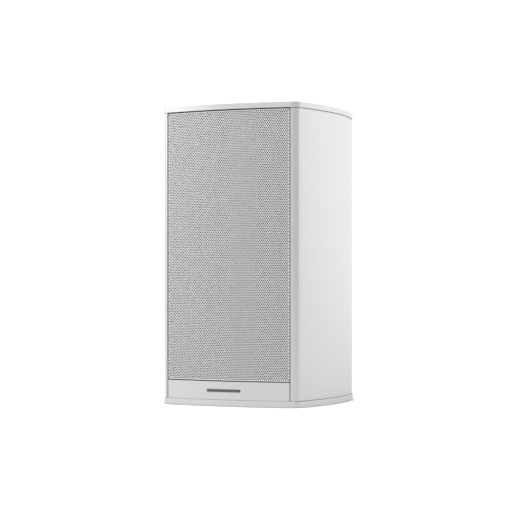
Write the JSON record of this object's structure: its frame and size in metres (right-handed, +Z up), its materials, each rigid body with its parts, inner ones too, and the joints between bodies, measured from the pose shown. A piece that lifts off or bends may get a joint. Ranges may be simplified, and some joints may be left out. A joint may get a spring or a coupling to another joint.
{
  "type": "bookshelf loudspeaker",
  "caption": "Two-way bookshelf loudspeaker with a curved extruded cabinet, flat end plates, a bowed lift-off perforated grille, a rear port and screw binding posts.",
  "frame": {"origin": "bottom centre of the whole bounding box, on the face of the foot pads", "axes": "+Z up, the grille faces -Y, the port and binding posts face +Y, +X is to the right as seen from the front"},
  "size_m": [0.18, 0.2402, 0.34],
  "materials": {
    "silver_metal": "satin anodised",
    "badge_metal": "brushed dark grey",
    "grille_metal": "satin silver paint",
    "cloth": "fine black cloth",
    "black_plastic": "matt moulded",
    "rubber": "matt",
    "baffle_board": "matt black paint on fibreboard",
    "brace_board": "bare fibreboard",
    "foam": "soft open foam",
    "steel": "zinc plated",
    "black_steel": "black oxide",
    "cast_metal": "matt black powder coat",
    "cone": "coated paper",
    "spider_cloth": "impregnated cloth",
    "copper": "enamelled copper",
    "ferrite": "bare ferrite",
    "magnet_metal": "nickel plated",
    "dome_metal": "satin",
    "board_laminate": "green laminate",
    "film_case": "glossy sleeve",
    "resistor_body": "matt cement",
    "red_cover": "red cable cover",
    "gold": "gold plated",
    "red_plastic": "glossy red",
    "black_gloss": "glossy black",
    "strip_board": "pressed laminate"
  },
  "bodies": {
    "cabinet": {"cabinet_shell": "silver_metal", "top_cap": "silver_metal", "base_plate": "silver_metal", "seam_gaskets": "rubber", "tie_rods": "steel", "tie_nuts": "steel", "foot_pads": "rubber", "front_baffle": "baffle_board", "baffle_screws": "black_steel", "baffle_magnets": "magnet_metal", "lower_panel": "silver_metal", "panel_screws": "steel", "badge": "badge_metal", "window_brace": "brace_board", "foam_lining": "foam", "woofer_basket": "cast_metal", "woofer_gasket": "rubber", "woofer_screws": "black_steel", "woofer_surround": "rubber", "woofer_spider": "spider_cloth", "woofer_top_plate": "steel", "woofer_magnet": "ferrite", "woofer_yoke": "steel", "woofer_terminal_strip": "strip_board", "tweeter_faceplate": "black_plastic", "tweeter_gasket": "rubber", "tweeter_screws": "black_steel", "tweeter_surround": "rubber", "tweeter_top_plate": "steel", "tweeter_magnet": "ferrite", "tweeter_yoke": "steel", "tweeter_rear_chamber": "black_plastic", "tweeter_terminal_strip": "strip_board", "crossover_board": "board_laminate", "crossover_coils": "copper", "crossover_capacitors": "film_case", "crossover_resistors": "resistor_body", "crossover_standoffs": "steel", "woofer_cable": "red_cover", "tweeter_cable": "red_cover", "input_cable": "red_cover", "port_tube": "black_plastic", "terminal_plate": "black_plastic", "terminal_gasket": "rubber", "terminal_screws": "black_steel", "post_studs": "gold", "post_nuts": "gold"},
    "grille": {"grille_sheet": "grille_metal", "grille_cloth": "cloth", "grille_frame": "black_plastic", "grille_magnets": "magnet_metal"},
    "woofer_cone_body": {"woofer_cone": "cone", "woofer_dust_cap": "cone", "woofer_voice_coil": "copper"},
    "tweeter_dome_body": {"tweeter_dome": "dome_metal", "tweeter_voice_coil": "copper"},
    "red_bush": {"post_red_bush": "gold"},
    "black_bush": {"post_black_bush": "gold"},
    "red_cap": {"post_red_cap": "red_plastic"},
    "black_cap": {"post_black_cap": "black_gloss"}
  },
  "joints": [
    {"name": "grille_lift_off", "type": "slide", "parent": "cabinet", "child": "grille", "axis": [0, -1, 0], "range_m": [0, 0.06]},
    {"name": "woofer_excursion", "type": "slide", "parent": "cabinet", "child": "woofer_cone_body", "axis": [0, -1, 0], "range_m": [-0.005, 0.005], "stiffness_N_per_m": 1200, "deforming": ["woofer_surround", "woofer_spider"]},
    {"name": "tweeter_excursion", "type": "slide", "parent": "cabinet", "child": "tweeter_dome_body", "axis": [0, -1, 0], "range_m": [-0.0003, 0.0003], "stiffness_N_per_m": 800, "deforming": ["tweeter_surround"]},
    {"name": "red_post_travel", "type": "slide", "parent": "cabinet", "child": "red_bush", "axis": [0, 1, 0], "range_m": [0, 0.004]},
    {"name": "red_post_turn", "type": "hinge", "parent": "red_bush", "child": "red_cap", "pos_m": [-0.0095, 0.10885, 0.0872], "axis": [0, 1, 0], "range_deg": [0, 1440]},
    {"name": "black_post_travel", "type": "slide", "parent": "cabinet", "child": "black_bush", "axis": [0, 1, 0], "range_m": [0, 0.004]},
    {"name": "black_post_turn", "type": "hinge", "parent": "black_bush", "child": "black_cap", "pos_m": [0.0095, 0.10885, 0.0872], "axis": [0, 1, 0], "range_deg": [0, 1440]}
  ],
  "couplings": [
    {"joint": "red_post_turn", "follows": "red_post_travel", "rad_per_m": 6283.2},
    {"joint": "black_post_turn", "follows": "black_post_travel", "rad_per_m": 6283.2}
  ]
}
